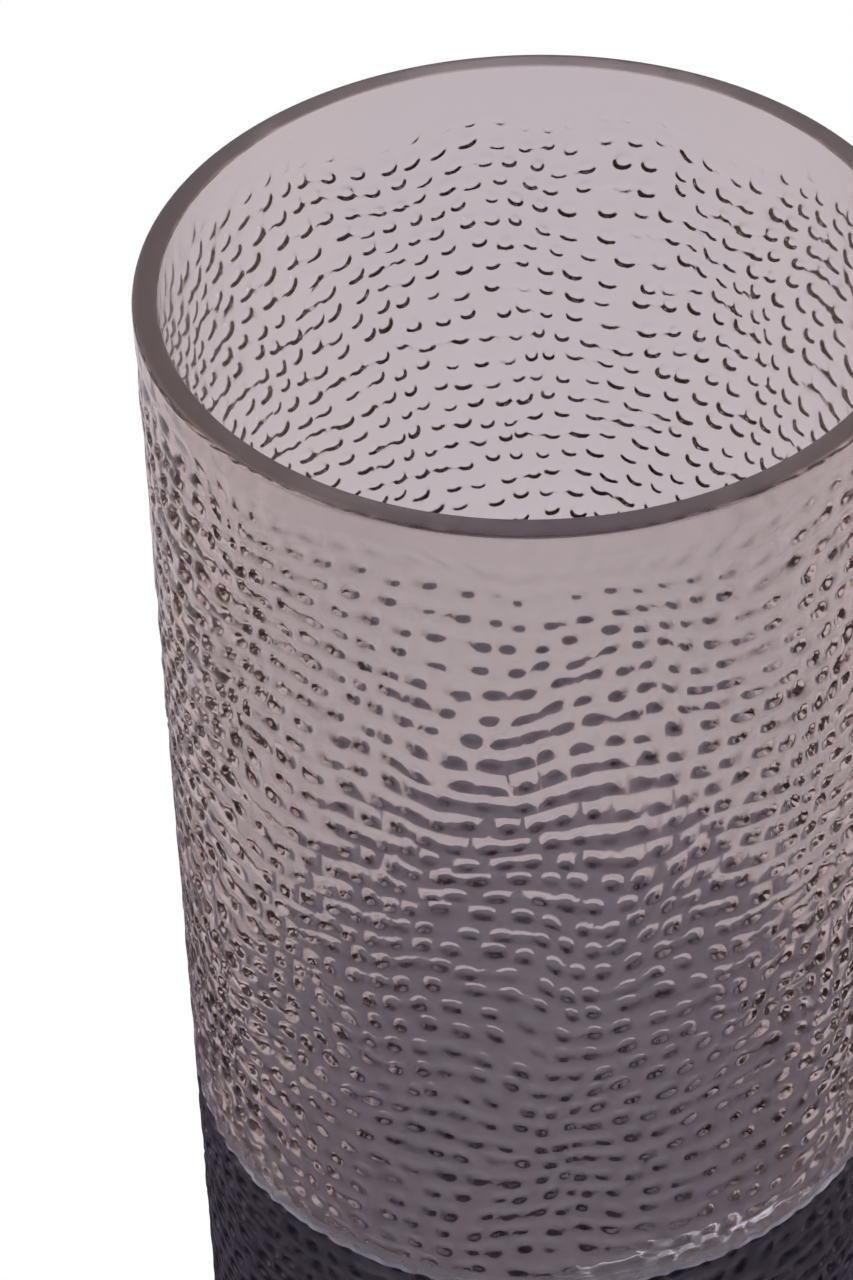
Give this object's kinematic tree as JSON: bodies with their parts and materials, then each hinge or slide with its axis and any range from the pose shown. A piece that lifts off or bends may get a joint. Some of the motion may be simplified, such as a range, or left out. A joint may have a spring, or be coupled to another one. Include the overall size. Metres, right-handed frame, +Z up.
{
  "type": "glass cylinder vase",
  "caption": "Tall straight cylinder vase in dimpled glass, pale mauve above and near-black purple below, with a flat polished rim and a flat underside.",
  "frame": {"origin": "on the floor, at the middle of the underside", "axes": "+Z up along the vase's axis, from underside to rim; the vase is round, so +X and +Y are free"},
  "size_m": [0.121, 0.121, 0.35],
  "materials": {
    "mauve_glass": "glossy, small dimples outside, smooth inside, rim ground flat and polished",
    "clear_glass": "glossy, thin clear band",
    "dark_glass": "glossy, small dimples outside, almost opaque purple-black"
  },
  "bodies": {
    "root": {"mauve_tube": "mauve_glass", "clear_seam_ring": "clear_glass", "dark_cup": "dark_glass"}
  },
  "joints": []
}
